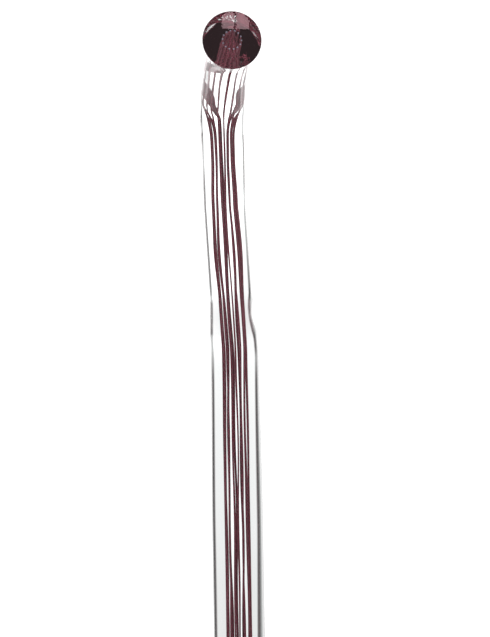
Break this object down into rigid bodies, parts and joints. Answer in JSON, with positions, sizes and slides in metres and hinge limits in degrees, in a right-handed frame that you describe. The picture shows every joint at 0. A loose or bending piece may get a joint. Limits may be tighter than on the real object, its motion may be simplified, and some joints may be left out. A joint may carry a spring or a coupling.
{
  "type": "glass dip pen",
  "caption": "Clear glass dip pen with a ring of dark threads cased in the handle, a fluted spiral nib and an elbow tail ending in a polished round face.",
  "frame": {"origin": "centre of the straight round grip, on its axis", "axes": "+Z along the grip away from the writing tip, -Y the side that the bent tail's polished face looks to, +X to the right of a viewer facing that polished face"},
  "size_m": [0.0107, 0.0366, 0.1835],
  "materials": {
    "clear_glass": "fire-polished clear glass",
    "nib_glass": "clear fluted glass",
    "thread_glass": "dark maroon glass, nearly opaque"
  },
  "bodies": {
    "root": {"handle_casing": "clear_glass", "core_rod": "clear_glass", "collar_bead": "clear_glass", "nib": "nib_glass", "thread_01": "thread_glass", "thread_02": "thread_glass", "thread_03": "thread_glass", "thread_04": "thread_glass", "thread_05": "thread_glass", "thread_06": "thread_glass", "thread_07": "thread_glass", "thread_08": "thread_glass", "thread_09": "thread_glass", "thread_10": "thread_glass", "thread_11": "thread_glass", "thread_12": "thread_glass", "thread_13": "thread_glass", "thread_14": "thread_glass"}
  },
  "joints": []
}
